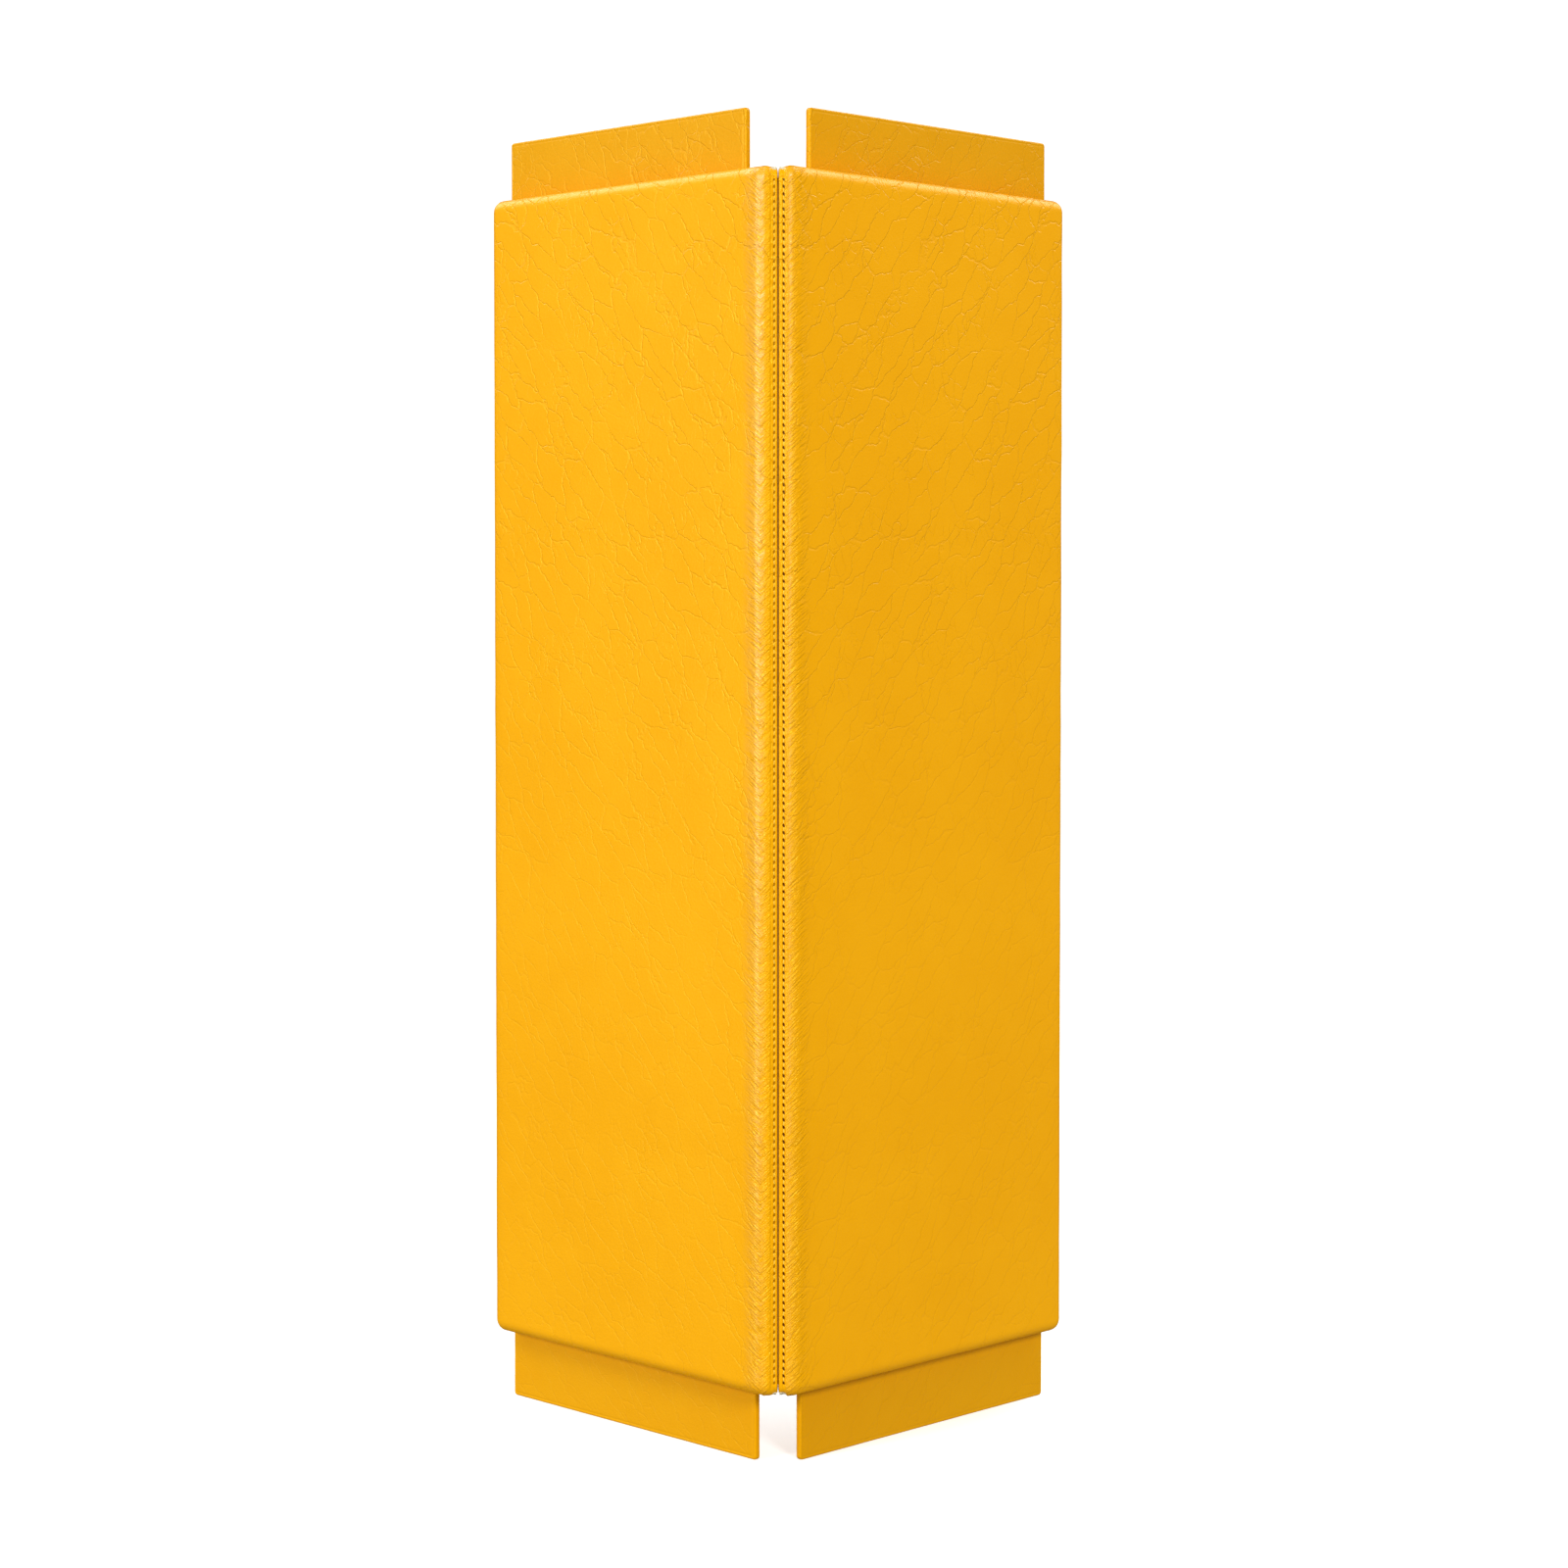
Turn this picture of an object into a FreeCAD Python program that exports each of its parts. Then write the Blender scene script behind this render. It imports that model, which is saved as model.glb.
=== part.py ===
import FreeCAD, Part
import os
import re
import Sketcher
from FreeCAD import Placement, Rotation, Vector

# Padded guard for an outside wall corner: two upholstered wings meet at a right angle along a stitched
# vertical seam. Each wing is a plywood core under foam and a vinyl cover, screwed to a thin mounting board
# whose vinyl-wrapped tongues stand out above and below the pad. The guard stands on the lower tongues.
#
# A wing is drawn in its own axes: X is u, along the wing from the sharp corner where the two front faces
# would meet; Y is v, the depth behind the front face; Z is up. The right wing is drawn and turned into
# place, and the left wing is its mirror image.

doc = FreeCAD.newDocument("corner_guard")
dims = doc.addObject("Spreadsheet::Sheet", "dims")

DIMENSIONS = {
    # pad
    "wing_width": 300.0,
    "pad_height": 835.2,
    "cover_thick": 1.0,
    "foam_thick": 10.0,
    "core_thick": 6.0,
    "edge_radius": 8.0,
    "corner_radius": 9.0,
    "hem_width": 25.0,
    # rounded nose beside the seam
    "nose_start": 23.3,
    "nose_radius": 15.5,
    "seam_gap": 0.6,
    "foam_gap": 1.2,
    "mitre_angle": 38.0,
    "mitre_reach": 50.0,
    "core_inner": 24.0,
    # mounting board and its wrapped tongues
    "board_thick": 3.0,
    "wrap_thick": 0.8,
    "wrap_radius": 1.2,
    "wrap_tuck": 28.0,
    "tongue_outer": 296.5,
    "top_rise": 43.6,
    "top_inner": 49.0,
    "bottom_drop": 50.8,
    "bottom_inner": 40.0,
    # countersunk screws that hold the mounting board to the core
    "head_radius": 4.0,
    "shank_radius": 1.75,
    "screw_length": 9.0,
    "point_length": 2.0,
    "sink_depth": 2.2,
    "screw_play": 0.25,
    "screw_inset": 90.0,
    "screw_spread": 160.0,
    "screw_rows": 4.0,
    "screw_margin": 110.0,
    # staples
    "crown_length": 10.0,
    "wire_width": 1.2,
    "wire_thick": 0.6,
    "cover_leg": 4.4,
    "wrap_leg": 3.4,
    "hem_row": 12.0,
    "wrap_row": 20.0,
    "row_inset": 66.0,
    "row_spread": 210.0,
    "row_staples": 6.0,
    "column_margin": 40.0,
    "column_staples": 13.0,
    # seam
    "stitch_pitch": 5.0,
    "stitch_length": 3.8,
    "stitch_radius": 0.4,
    "stitch_offset": 3.4,
    "stitch_sink": 0.3,
    "stitch_count": 163.0,
    "thread_radius": 0.22,
    "thread_depth": 1.55,
    "tape_depth": 2.3,
    "tape_thick": 0.6,
    "tape_half": 7.5,
    "tape_margin": 9.0,
    "tape_play": 0.2,
    "overshoot": 4.0,
}
for row, (name, size) in enumerate(DIMENSIONS.items(), start=1):
    dims.set(f"A{row}", name)
    dims.set(f"B{row}", str(size))
    dims.setAlias(f"B{row}", name)
doc.recompute()
CELLS = {name: f"dims.{name}" for name in DIMENSIONS}

# Places that several pieces share, as formulas on the sheet's cells.
PAD_LOW = "bottom_drop"
PAD_HIGH = "(bottom_drop + pad_height)"
GUARD_HIGH = "(bottom_drop + pad_height + top_rise)"
FOAM_BACK = "(cover_thick + foam_thick)"
CORE_BACK = "(cover_thick + foam_thick + core_thick)"
PAD_BACK = "(2 * cover_thick + foam_thick + core_thick)"
BOARD_FRONT = f"({PAD_BACK} + wrap_thick)"
BOARD_BACK = f"({BOARD_FRONT} + board_thick)"
GUARD_BACK = f"({BOARD_BACK} + wrap_thick)"
# Across the whole guard: the nose's centre, the crown nearest the room and the farthest back corner,
# all counted from the sharp corner, and where that corner lies when the origin is centred under the guard.
NOSE_ACROSS = "((nose_start - nose_radius) / sqrt(2))"
NOSE_DEPTH = "((nose_start + nose_radius) / sqrt(2))"
NEAREST = f"({NOSE_DEPTH} - nose_radius)"
FARTHEST = f"((tongue_outer + {GUARD_BACK} - 2 * wrap_radius) / sqrt(2) + wrap_radius)"
APEX_Y = f"(-({NEAREST} + {FARTHEST}) / 2)"


def nose_surface(across):
    """The depth of the rounded nose behind the sharp corner, at a distance across from the seam."""
    return f"({NOSE_DEPTH} - sqrt(nose_radius ^ 2 - ({NOSE_ACROSS} - {across}) ^ 2))"


def wing_point(across, depth):
    """The two wing coordinates of a point given across and behind the seam."""
    return f"({depth} + {across}) / sqrt(2)", f"({depth} - {across}) / sqrt(2)"


def link(item, prop, formula):
    """Bind a property to a formula, pointing each dimension's name at its cell of the sheet."""
    item.setExpression(prop, re.sub(r"[a-z_]{3,}", lambda word: CELLS.get(word[0], word[0]), formula))


def new_body(name):
    body = doc.addObject("PartDesign::Body", name)
    body.AllowCompound = True
    return body


def origin_feature(body, role):
    return next(item for item in body.Origin.OriginFeatures if item.Role == role)


def attach(item, body, at, angle=None):
    """Attach a feature to its body's horizontal plane, moved to three formulas and turned about Z."""
    item.AttachmentSupport = [(origin_feature(body, "XY_Plane"), "")]
    item.MapMode = "FlatFace"
    for axis, place in zip("xyz", at):
        link(item, f".AttachmentOffset.Base.{axis}", place)
    if angle is not None:
        item.AttachmentOffset = Placement(item.AttachmentOffset.Base, Rotation(Vector(0, 0, 1), 1))
        link(item, ".AttachmentOffset.Rotation.Angle", angle)


def add(body, kind, name, at, angle=None, **sizes):
    """Add a PartDesign primitive with its place and its sizes linked."""
    item = body.newObject(f"PartDesign::{kind}", name)
    attach(item, body, at, angle)
    for prop, formula in sizes.items():
        link(item, prop, formula)
    return item


def add_box(body, kind, name, u, v, z):
    """Add a box that runs from the first to the second formula of each pair."""
    length, width, height = (f"({high}) - ({low})" for low, high in (u, v, z))
    return add(body, kind, name, (u[0], v[0], z[0]), Length=length, Width=width, Height=height)


def runs(along, axis):
    """Whether a direction is close to an axis."""
    return abs(getattr(along, axis)) > 0.9


def is_outer(at):
    """Whether a point is in the half of its wing away from the seam."""
    return at.x > DIMENSIONS["wing_width"] / 2


def is_front(at):
    """Whether a point is no deeper in its wing than the foam."""
    return at.y < DIMENSIONS["foam_thick"]


def fillet(body, name, feature, radius, wanted):
    """Round the edges of a feature that pass a test of their middle and direction."""
    doc.recompute()
    names = []
    for index, edge in enumerate(feature.Shape.Edges, start=1):
        middle = (edge.FirstParameter + edge.LastParameter) / 2
        if wanted(edge.valueAt(middle), edge.tangentAt(middle)):
            names.append(f"Edge{index}")
    item = body.newObject("PartDesign::Fillet", name)
    item.Base = (feature, names)
    link(item, "Radius", radius)
    return item


def pattern(body, name, originals, directions):
    """Repeat features along one or two of the body's axes, each given as (axis, length, count)."""
    rows = []
    for role, length, count in directions:
        row = body.newObject("PartDesign::LinearPattern", f"{name}_along_{role[0].lower()}")
        row.Direction = (origin_feature(body, role), [""])
        link(row, "Length", length)
        link(row, "Occurrences", count)
        rows.append(row)
    if len(rows) == 1:
        rows[0].Originals = originals
        body.Tip = rows[0]
        return
    grid = body.newObject("PartDesign::MultiTransform", name)
    grid.Originals = originals
    grid.Transformations = rows
    body.Tip = grid


def padded_block(name, inset, back, gap):
    """The pad's outline taken in by an inset, from its flat front with rounded edges to a plane at its
    back. Its nose is round, and its inner end leans away from the mitre, so that the wings can close a
    little past square."""
    body = new_body(name)
    z = (f"{PAD_LOW} + {inset}", f"{PAD_HIGH} - {inset}")
    block = add_box(body, "AdditiveBox", f"{name}_block",
                    (f"nose_start - nose_radius + {inset}", f"wing_width - {inset}"), (inset, back), z)
    nose = fillet(body, f"{name}_nose", block, f"nose_radius - {inset}",
                  lambda at, along: runs(along, "z") and not is_outer(at) and is_front(at))
    corners = fillet(body, f"{name}_corners", nose, f"corner_radius - {inset}",
                     lambda at, along: runs(along, "y") and is_outer(at))
    fillet(body, f"{name}_edges", corners, f"edge_radius - {inset}",
           lambda at, along: is_front(at) and not runs(along, "y") and (is_outer(at) or not runs(along, "z")))
    tip = wing_point(f"({gap}) / 2", nose_surface(f"({gap}) / 2"))
    start = (f"{tip[0]} - mitre_reach * cos(mitre_angle)", f"{tip[1]} - mitre_reach * sin(mitre_angle)", "0")
    add(body, "SubtractiveBox", f"{name}_mitre", start, "mitre_angle",
        Length="2 * mitre_reach", Width="mitre_reach", Height=GUARD_HIGH)
    return body


def turned(body, kind, name, at, points):
    """Turn half a profile about its own V axis. Its corners are pairs of formulas, "0" on an axis."""
    sketch = body.newObject("Sketcher::SketchObject", f"{name}_profile")
    attach(sketch, body, at)
    rough = [Vector(0 if x == "0" else 1 + index, 0 if y == "0" else 1 + index, 0)
             for index, (x, y) in enumerate(points)]
    for first, last in zip(rough, rough[1:] + rough[:1]):
        sketch.addGeometry(Part.LineSegment(first, last))
    for line, corner in enumerate(points):
        previous = (line or len(points)) - 1
        sketch.addConstraint(Sketcher.Constraint("Coincident", previous, 2, line, 1))
        for kind_of_size, axis, place in zip(("DistanceX", "DistanceY"), (-2, -1), corner):
            if place == "0":
                sketch.addConstraint(Sketcher.Constraint("PointOnObject", line, 1, axis))
            else:
                index = sketch.addConstraint(Sketcher.Constraint(kind_of_size, -1, 1, line, 1, 1.0))
                link(sketch, f"Constraints[{index}]", place)
    item = body.newObject(f"PartDesign::{kind}", name)
    item.Profile = sketch
    item.ReferenceAxis = (sketch, ["V_Axis"])
    item.Angle = 360
    return item


def core_board():
    """Plywood panel that carries the foam and takes the staples and screws."""
    body = new_body("right_core_board")
    panel = add_box(body, "AdditiveBox", "core_panel", ("core_inner", "wing_width - cover_thick"),
                    (FOAM_BACK, CORE_BACK), (f"{PAD_LOW} + cover_thick", f"{PAD_HIGH} - cover_thick"))
    fillet(body, "core_corners", panel, "corner_radius - cover_thick",
           lambda at, along: runs(along, "y") and is_outer(at))
    return body


def foam_pad():
    """Foam sheet glued to the core, rounded at its edges, with a flat behind the seam for the tape."""
    body = padded_block("right_foam_pad", "cover_thick", CORE_BACK, "foam_gap")
    add_box(body, "SubtractiveBox", "foam_back", ("0", "wing_width"), (FOAM_BACK, PAD_BACK),
            ("0", GUARD_HIGH))
    flat_depth = f"({NEAREST} + tape_depth + tape_thick + tape_play)"
    corner = wing_point("(-2 * tape_half)", "0")
    add(body, "SubtractiveBox", "foam_flat", (*corner, "0"), "-45",
        Length="6 * tape_half", Width=flat_depth, Height=GUARD_HIGH)
    return body


def cover():
    """Vinyl shell over the front and the edges of the pad, with a hem turned onto the core's back."""
    outside = padded_block("cover_outside", "0", PAD_BACK, "seam_gap")
    inside = padded_block("cover_inside", "cover_thick", CORE_BACK, "-overshoot")
    add_box(inside, "AdditiveBox", "cover_window", ("0", "wing_width - hem_width"),
            (FOAM_BACK, f"{PAD_BACK} + cover_thick"),
            (f"{PAD_LOW} + hem_width", f"{PAD_HIGH} - hem_width"))
    shell = doc.addObject("Part::Cut", "right_cover")
    shell.Base = outside
    shell.Tool = inside
    return shell


def mounting_board():
    """Thin hardboard behind the pad, with a tongue above and below it and countersunk screw holes."""
    body = new_body("right_mounting_board")
    thickness = (BOARD_FRONT, BOARD_BACK)
    shoulder = f"{PAD_HIGH} - wrap_tuck"
    outer = "tongue_outer - wrap_thick"
    add_box(body, "AdditiveBox", "board_sheet", ("bottom_inner + wrap_thick", outer), thickness,
            ("wrap_thick", shoulder))
    add_box(body, "AdditiveBox", "board_top_tongue", ("top_inner + wrap_thick", outer), thickness,
            (shoulder, f"{GUARD_HIGH} - wrap_thick"))
    hole = "shank_radius + screw_play"
    sunk = turned(body, "Groove", "board_hole", screw_place(BOARD_FRONT),
                  [("0", "0"), (hole, "0"), (hole, "board_thick - sink_depth"),
                   ("head_radius + screw_play", "board_thick"), ("0", "board_thick")])
    pattern(body, "board_holes", [sunk], SCREW_GRID)
    return body


SCREW_GRID = [("X_Axis", "screw_spread", "2"),
              ("Z_Axis", "pad_height - 2 * screw_margin", "screw_rows")]


def screw_place(depth):
    return "screw_inset", depth, f"{PAD_LOW} + screw_margin"


def board_screws():
    """Countersunk screws through the mounting board into the core."""
    body = new_body("right_board_screws")
    screw = turned(body, "Revolution", "screw", screw_place(f"{BOARD_BACK} - screw_length"),
                   [("0", "0"), ("shank_radius", "point_length"),
                    ("shank_radius", "screw_length - sink_depth"), ("head_radius", "screw_length"),
                    ("0", "screw_length")])
    pattern(body, "screws", [screw], SCREW_GRID)
    return body


def flange_wrap(name, inner, ends, hollow, open_low):
    """Vinyl cap over a tongue of the mounting board. Its open end is tucked behind the pad."""
    body = new_body(name)
    cap = add_box(body, "AdditiveBox", f"{name}_cap", (inner, "tongue_outer"), (PAD_BACK, GUARD_BACK), ends)
    doc.recompute()
    box = cap.Shape.BoundBox
    open_end = box.ZMin if open_low else box.ZMax
    fillet(body, f"{name}_edges", cap, "wrap_radius", lambda at, along: abs(at.z - open_end) > 0.1)
    add_box(body, "SubtractiveBox", f"{name}_hollow", (f"{inner} + wrap_thick", "tongue_outer - wrap_thick"),
            (BOARD_FRONT, BOARD_BACK), hollow)
    return body


def staple(body, name, centre, depth, leg, along):
    """One staple pressed in flush at a depth: a crown along u or z, and two legs going forward."""
    crown_v = (f"{depth} - wire_thick", depth)
    leg_v = (f"{depth} - {leg}", f"{depth} - wire_thick")
    pieces = {"crown": (crown_v, "-crown_length / 2", "crown_length / 2"),
              "first_leg": (leg_v, "-crown_length / 2", "-crown_length / 2 + wire_thick"),
              "last_leg": (leg_v, "crown_length / 2 - wire_thick", "crown_length / 2")}
    features = []
    for piece, (v, start, end) in pieces.items():
        run = {"u": ("-wire_width / 2", "wire_width / 2"), "z": ("-wire_width / 2", "wire_width / 2")}
        run[along] = (start, end)
        u, z = ([f"{middle} + {side}" for side in run[axis]] for middle, axis in zip(centre, "uz"))
        features.append(add_box(body, "AdditiveBox", f"{name}_{piece}", u, v, z))
    return features


def cover_staples():
    """Staples through the hem into the core: a row above, a row below and a column at the outer edge."""
    body = new_body("right_cover_staples")
    row = staple(body, "hem_staple", ("row_inset", f"{PAD_LOW} + hem_row"), PAD_BACK, "cover_leg", "u")
    pattern(body, "hem_rows", row, [("X_Axis", "row_spread", "row_staples"),
                                    ("Z_Axis", "pad_height - 2 * hem_row", "2")])
    side = staple(body, "side_staple", ("wing_width - hem_row", f"{PAD_LOW} + column_margin"),
                  PAD_BACK, "cover_leg", "z")
    pattern(body, "side_column", side, [("Z_Axis", "pad_height - 2 * column_margin", "column_staples")])
    return body


def wrap_staples():
    """Staples through the tucked ends of the two wraps into the mounting board."""
    body = new_body("right_wrap_staples")
    row = staple(body, "wrap_staple", ("row_inset", f"{PAD_LOW} + wrap_row"), GUARD_BACK, "wrap_leg", "u")
    pattern(body, "wrap_rows", row, [("X_Axis", "row_spread", "row_staples"),
                                     ("Z_Axis", "pad_height - 2 * wrap_row", "2")])
    return body


def topstitch():
    """A row of stitches beside the seam, each sunk in the vinyl."""
    body = new_body("right_topstitch")
    place = wing_point("stitch_offset", f"({nose_surface('stitch_offset')} + stitch_sink)")
    row = "stitch_pitch * (stitch_count - 1)"
    start = f"{PAD_LOW} + (pad_height - {row} - stitch_length) / 2"
    stitch = add(body, "AdditiveCylinder", "stitch", (*place, start),
                 Radius="stitch_radius", Height="stitch_length")
    pattern(body, "stitches", [stitch], [("Z_Axis", row, "stitch_count")])
    return body


def seam_tape():
    """Woven tape behind the seam, sewn to both covers."""
    body = new_body("seam_tape")
    depth = f"{NEAREST} + tape_depth"
    add_box(body, "AdditiveBox", "tape_strip", ("-tape_half", "tape_half"), (depth, f"{depth} + tape_thick"),
            (f"{PAD_LOW} + tape_margin", f"{PAD_HIGH} - tape_margin"))
    return body


def seam_thread():
    """The line of thread that closes the seam between the two covers' turned edges."""
    body = new_body("seam_thread")
    place = ("0", f"{NEAREST} + thread_depth", f"{PAD_LOW} + tape_margin")
    add(body, "AdditiveCylinder", "thread_line", place,
        Radius="thread_radius", Height="pad_height - 2 * tape_margin")
    return body


def stand(item, turn):
    """Turn a piece about the sharp corner and move it so that the origin is centred under the guard."""
    item.Placement = Placement(Vector(0, -1, 0), Rotation(Vector(0, 0, 1), turn))
    link(item, ".Placement.Base.y", APEX_Y)
    return item


upper_tuck, lower_tuck = f"{PAD_HIGH} - wrap_tuck", f"{PAD_LOW} + wrap_tuck"
right_pieces = [stand(piece, 45) for piece in (
    core_board(), foam_pad(), cover(), cover_staples(), mounting_board(), board_screws(),
    flange_wrap("right_top_flange_wrap", "top_inner", (upper_tuck, GUARD_HIGH),
                (f"{upper_tuck} - overshoot", f"{GUARD_HIGH} - wrap_thick"), True),
    flange_wrap("right_bottom_flange_wrap", "bottom_inner", ("0", lower_tuck),
                ("wrap_thick", f"{lower_tuck} + overshoot"), False),
    wrap_staples(), topstitch())]
seam_pieces = [stand(piece, 0) for piece in (seam_tape(), seam_thread())]

left_pieces = []
for right in right_pieces:
    left = doc.addObject("Part::Mirroring", right.Label.replace("right_", "left_"))
    left.Source = right
    left.Normal = Vector(1, 0, 0)
    left_pieces.append(left)

doc.recompute()
for item in doc.Objects:
    if "Invalid" in item.State or "Error" in item.State:
        raise SystemExit(f"{item.Label} failed: {item.State}")

os.makedirs("parts", exist_ok=True)
pieces = right_pieces + left_pieces + seam_pieces
for piece in pieces:
    if piece.Shape.isNull() or not piece.Shape.isValid():
        raise SystemExit(f"{piece.Label} has no valid shape")
for piece in pieces:
    piece.Shape.exportStep(f"parts/{piece.Label}.step")
    box = piece.Shape.BoundBox
    print(f"{piece.Label}: {len(piece.Shape.Solids)} solid(s), {piece.Shape.Volume:.0f} mm3,",
          f"{box.XLength:.1f} x {box.YLength:.1f} x {box.ZLength:.1f} mm")
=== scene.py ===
from math import asin, cos, exp, pi, radians, sin, sqrt

import bmesh
import bpy
from mathutils import Matrix, Vector, noise


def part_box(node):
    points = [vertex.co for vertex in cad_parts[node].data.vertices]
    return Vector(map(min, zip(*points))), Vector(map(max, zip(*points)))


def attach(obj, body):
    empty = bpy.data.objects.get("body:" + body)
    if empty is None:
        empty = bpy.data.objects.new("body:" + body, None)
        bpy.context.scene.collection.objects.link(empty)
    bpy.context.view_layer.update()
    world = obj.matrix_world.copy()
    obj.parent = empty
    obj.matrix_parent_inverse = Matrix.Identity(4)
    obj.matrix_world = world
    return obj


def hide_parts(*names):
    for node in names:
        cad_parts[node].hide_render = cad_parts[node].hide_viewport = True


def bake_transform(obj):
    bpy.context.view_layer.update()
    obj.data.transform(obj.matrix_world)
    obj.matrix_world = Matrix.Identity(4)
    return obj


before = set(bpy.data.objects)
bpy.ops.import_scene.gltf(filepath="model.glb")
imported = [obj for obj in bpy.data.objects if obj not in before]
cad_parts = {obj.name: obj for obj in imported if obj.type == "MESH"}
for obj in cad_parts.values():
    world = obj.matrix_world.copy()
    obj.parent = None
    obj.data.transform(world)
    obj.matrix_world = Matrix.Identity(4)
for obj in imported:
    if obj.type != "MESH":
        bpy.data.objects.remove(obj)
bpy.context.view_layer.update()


# ---------------------------------------------------------------------------------------------------
# Core boards. A panel of thin plywood stiffens each wing. The foam is glued to its front and the cover
# is stapled to its back, so it shows only through the open corner behind the seam.

SIDES = ("left", "right")


class Wire:
    """One output of a material's nodes. Sums on it add Math nodes; node() adds any other node."""

    def __init__(self, tree, socket=None):
        self.tree = tree
        self.socket = socket

    def node(self, kind, settings=None, sockets=None, output=0):
        """Add a node of this type, set it up, then give its sockets their values or links."""
        made = self.tree.nodes.new("ShaderNode" + kind)
        for name, value in (settings or {}).items():
            setattr(made, name, value)
        for name, value in (sockets or {}).items():
            if isinstance(value, Wire):
                self.tree.links.new(value.socket, made.inputs[name])
            else:
                made.inputs[name].default_value = value
        return Wire(self.tree, made.outputs[output] if made.outputs else None)

    def math(self, operation, *values):
        return self.node("Math", {"operation": operation}, dict(enumerate((self, *values))))

    def __add__(self, other):
        return self.math("ADD", other)

    def __mul__(self, other):
        return self.math("MULTIPLY", other)

    def __sub__(self, other):
        return self.math("SUBTRACT", other)

    def __rsub__(self, other):
        return self.math("MULTIPLY_ADD", -1.0, other)

    __radd__, __rmul__ = __add__, __mul__

    def step(self, low, high):
        """A smooth rise from 0 at low to 1 at high."""
        return self.node("MapRange", {"interpolation_type": "SMOOTHSTEP"},
                         {"Value": self, "From Min": low, "From Max": high})

    def axis(self, letter):
        """One coordinate of this place."""
        return self.node("SeparateXYZ", None, {0: self}, letter)

    def noise(self, scale, detail=2.0, output=0):
        """Soft noise at this place, with a scale in bumps per metre."""
        return self.node("TexNoise", None, {"Vector": self, "Scale": scale, "Detail": detail}, output)

    def tint(self, low, high):
        """A colour that goes from low to high as this value goes from 0 to 1."""
        colours = [c if isinstance(c, Wire) else (*c, 1) for c in (low, high)]
        return self.node("Mix", {"data_type": "RGBA"}, {0: self, 6: colours[0], 7: colours[1]}, 2)

    def placed(self, move=(0, 0, 0), turn=(0, 0, 0), stretch=(1, 1, 1)):
        """This place moved, turned and stretched, for a pattern that runs another way."""
        return self.node("Mapping", None,
                         {"Vector": self, "Location": move, "Rotation": turn, "Scale": stretch})


def new_material(name):
    """An empty material, and the place on the piece that its patterns read."""
    material = bpy.data.materials.new(name)
    material.use_nodes = True
    material.node_tree.nodes.clear()
    return material, Wire(material.node_tree).node("TexCoord", output="Object")


def surface(material, height, depth, strength, **sockets):
    """Close a material with its shader: a relief of this depth in metres and the shader's own values."""
    place = Wire(material.node_tree)
    sockets = {name.replace("_", " ").title().replace("Ior", "IOR"): value for name, value in sockets.items()}
    sockets["Normal"] = place.node("Bump", None, {"Height": height, "Distance": depth, "Strength": strength})
    shader = place.node("BsdfPrincipled", None, sockets)
    place.node("OutputMaterial", None, {"Surface": shader})


def plywood():
    material, place = new_material("birch_plywood")
    grain = place.placed(stretch=(1, 1, 0.06)).noise(320, 6)
    figure = place.placed(stretch=(1, 1, 0.12)).noise(38, 3)
    clouds = place.noise(6, 1)
    tone = (grain * 0.5 + figure * 0.5).step(0.3, 0.7)
    surface(material, grain, 0.0004, 0.4, roughness=0.62 - clouds * 0.1,
            base_color=tone.tint((0.42, 0.27, 0.13), (0.66, 0.48, 0.28)))
    return material


plywood_finish = plywood()
for side in SIDES:
    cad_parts[f"{side}_core_board"].material_slots[0].material = plywood_finish


# ---------------------------------------------------------------------------------------------------
# Foam pads. Ten millimetres of upholstery foam covers the front of each core and rounds its edges. It is
# cut back at a slant behind the seam, where its open cells can be seen from behind.

MM = 0.001
PAD_LOW, PAD_HIGH = 50.8, 886.0             # the pad's ends, in millimetres above the floor
WING_WIDTH, PAD_BACK = 300.0, 18.0
NOSE_START, NOSE_RADIUS = 23.3, 15.5        # where a face begins to turn in to the seam, and how round
CORNER_RADIUS, EDGE_RADIUS, ROUND_STEPS = 9.0, 8.0, 6
COVER_THICK = 1.0
MITRE_ANGLE = radians(38)
FOAM_BACK, FOAM_GAP, FOAM_FLAT, FOAM_NOSE_STEPS = 11.0, 1.2, 15.04, 12
FOAM_CLEARANCE = 0.15                       # between the foam and the cover's inner face
FOAM_ROWS = range(70, 880, 15)              # heights that divide the foam's mesh
FOAM_LUMPS, LUMP_SIZE, LUMPY_TO = 0.12, 9, 40       # how uneven the cut foam is, and how far along the wing
BOARD_END, BOARD_BACK = 295.7, 21.8         # the mounting board's far back corner
ROOT2 = sqrt(2)
NOSE_ACROSS = (NOSE_START - NOSE_RADIUS) / ROOT2
NOSE_DEPTH = (NOSE_START + NOSE_RADIUS) / ROOT2
ALIGNED, TOUCHING = 0.9, 0.01               # what counts as along an axis, and as lying on a face

# A wing is made in millimetres in its own axes: u along the wing from the sharp corner where the two
# faces would meet, v the depth behind its face, z up. These matrices put the two wings in their places.
CORNER_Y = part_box("right_mounting_board")[1].y / MM - (BOARD_END + BOARD_BACK) / ROOT2
right_wing = (Matrix.Scale(MM, 4) @ Matrix.Translation((0, CORNER_Y, 0))
              @ Matrix.Rotation(radians(45), 4, "Z"))
WINGS = {"right": right_wing, "left": Matrix.Scale(-1, 4, (1, 0, 0)) @ right_wing}


def nose_surface(across):
    """The depth of the rounded nose behind the sharp corner, at a distance across from the seam."""
    return NOSE_DEPTH - sqrt(NOSE_RADIUS ** 2 - (NOSE_ACROSS - across) ** 2)


def wing_point(across, depth):
    """A place given across the seam and behind the sharp corner, as u and v."""
    return (depth + across) / ROOT2, (depth - across) / ROOT2


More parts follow.
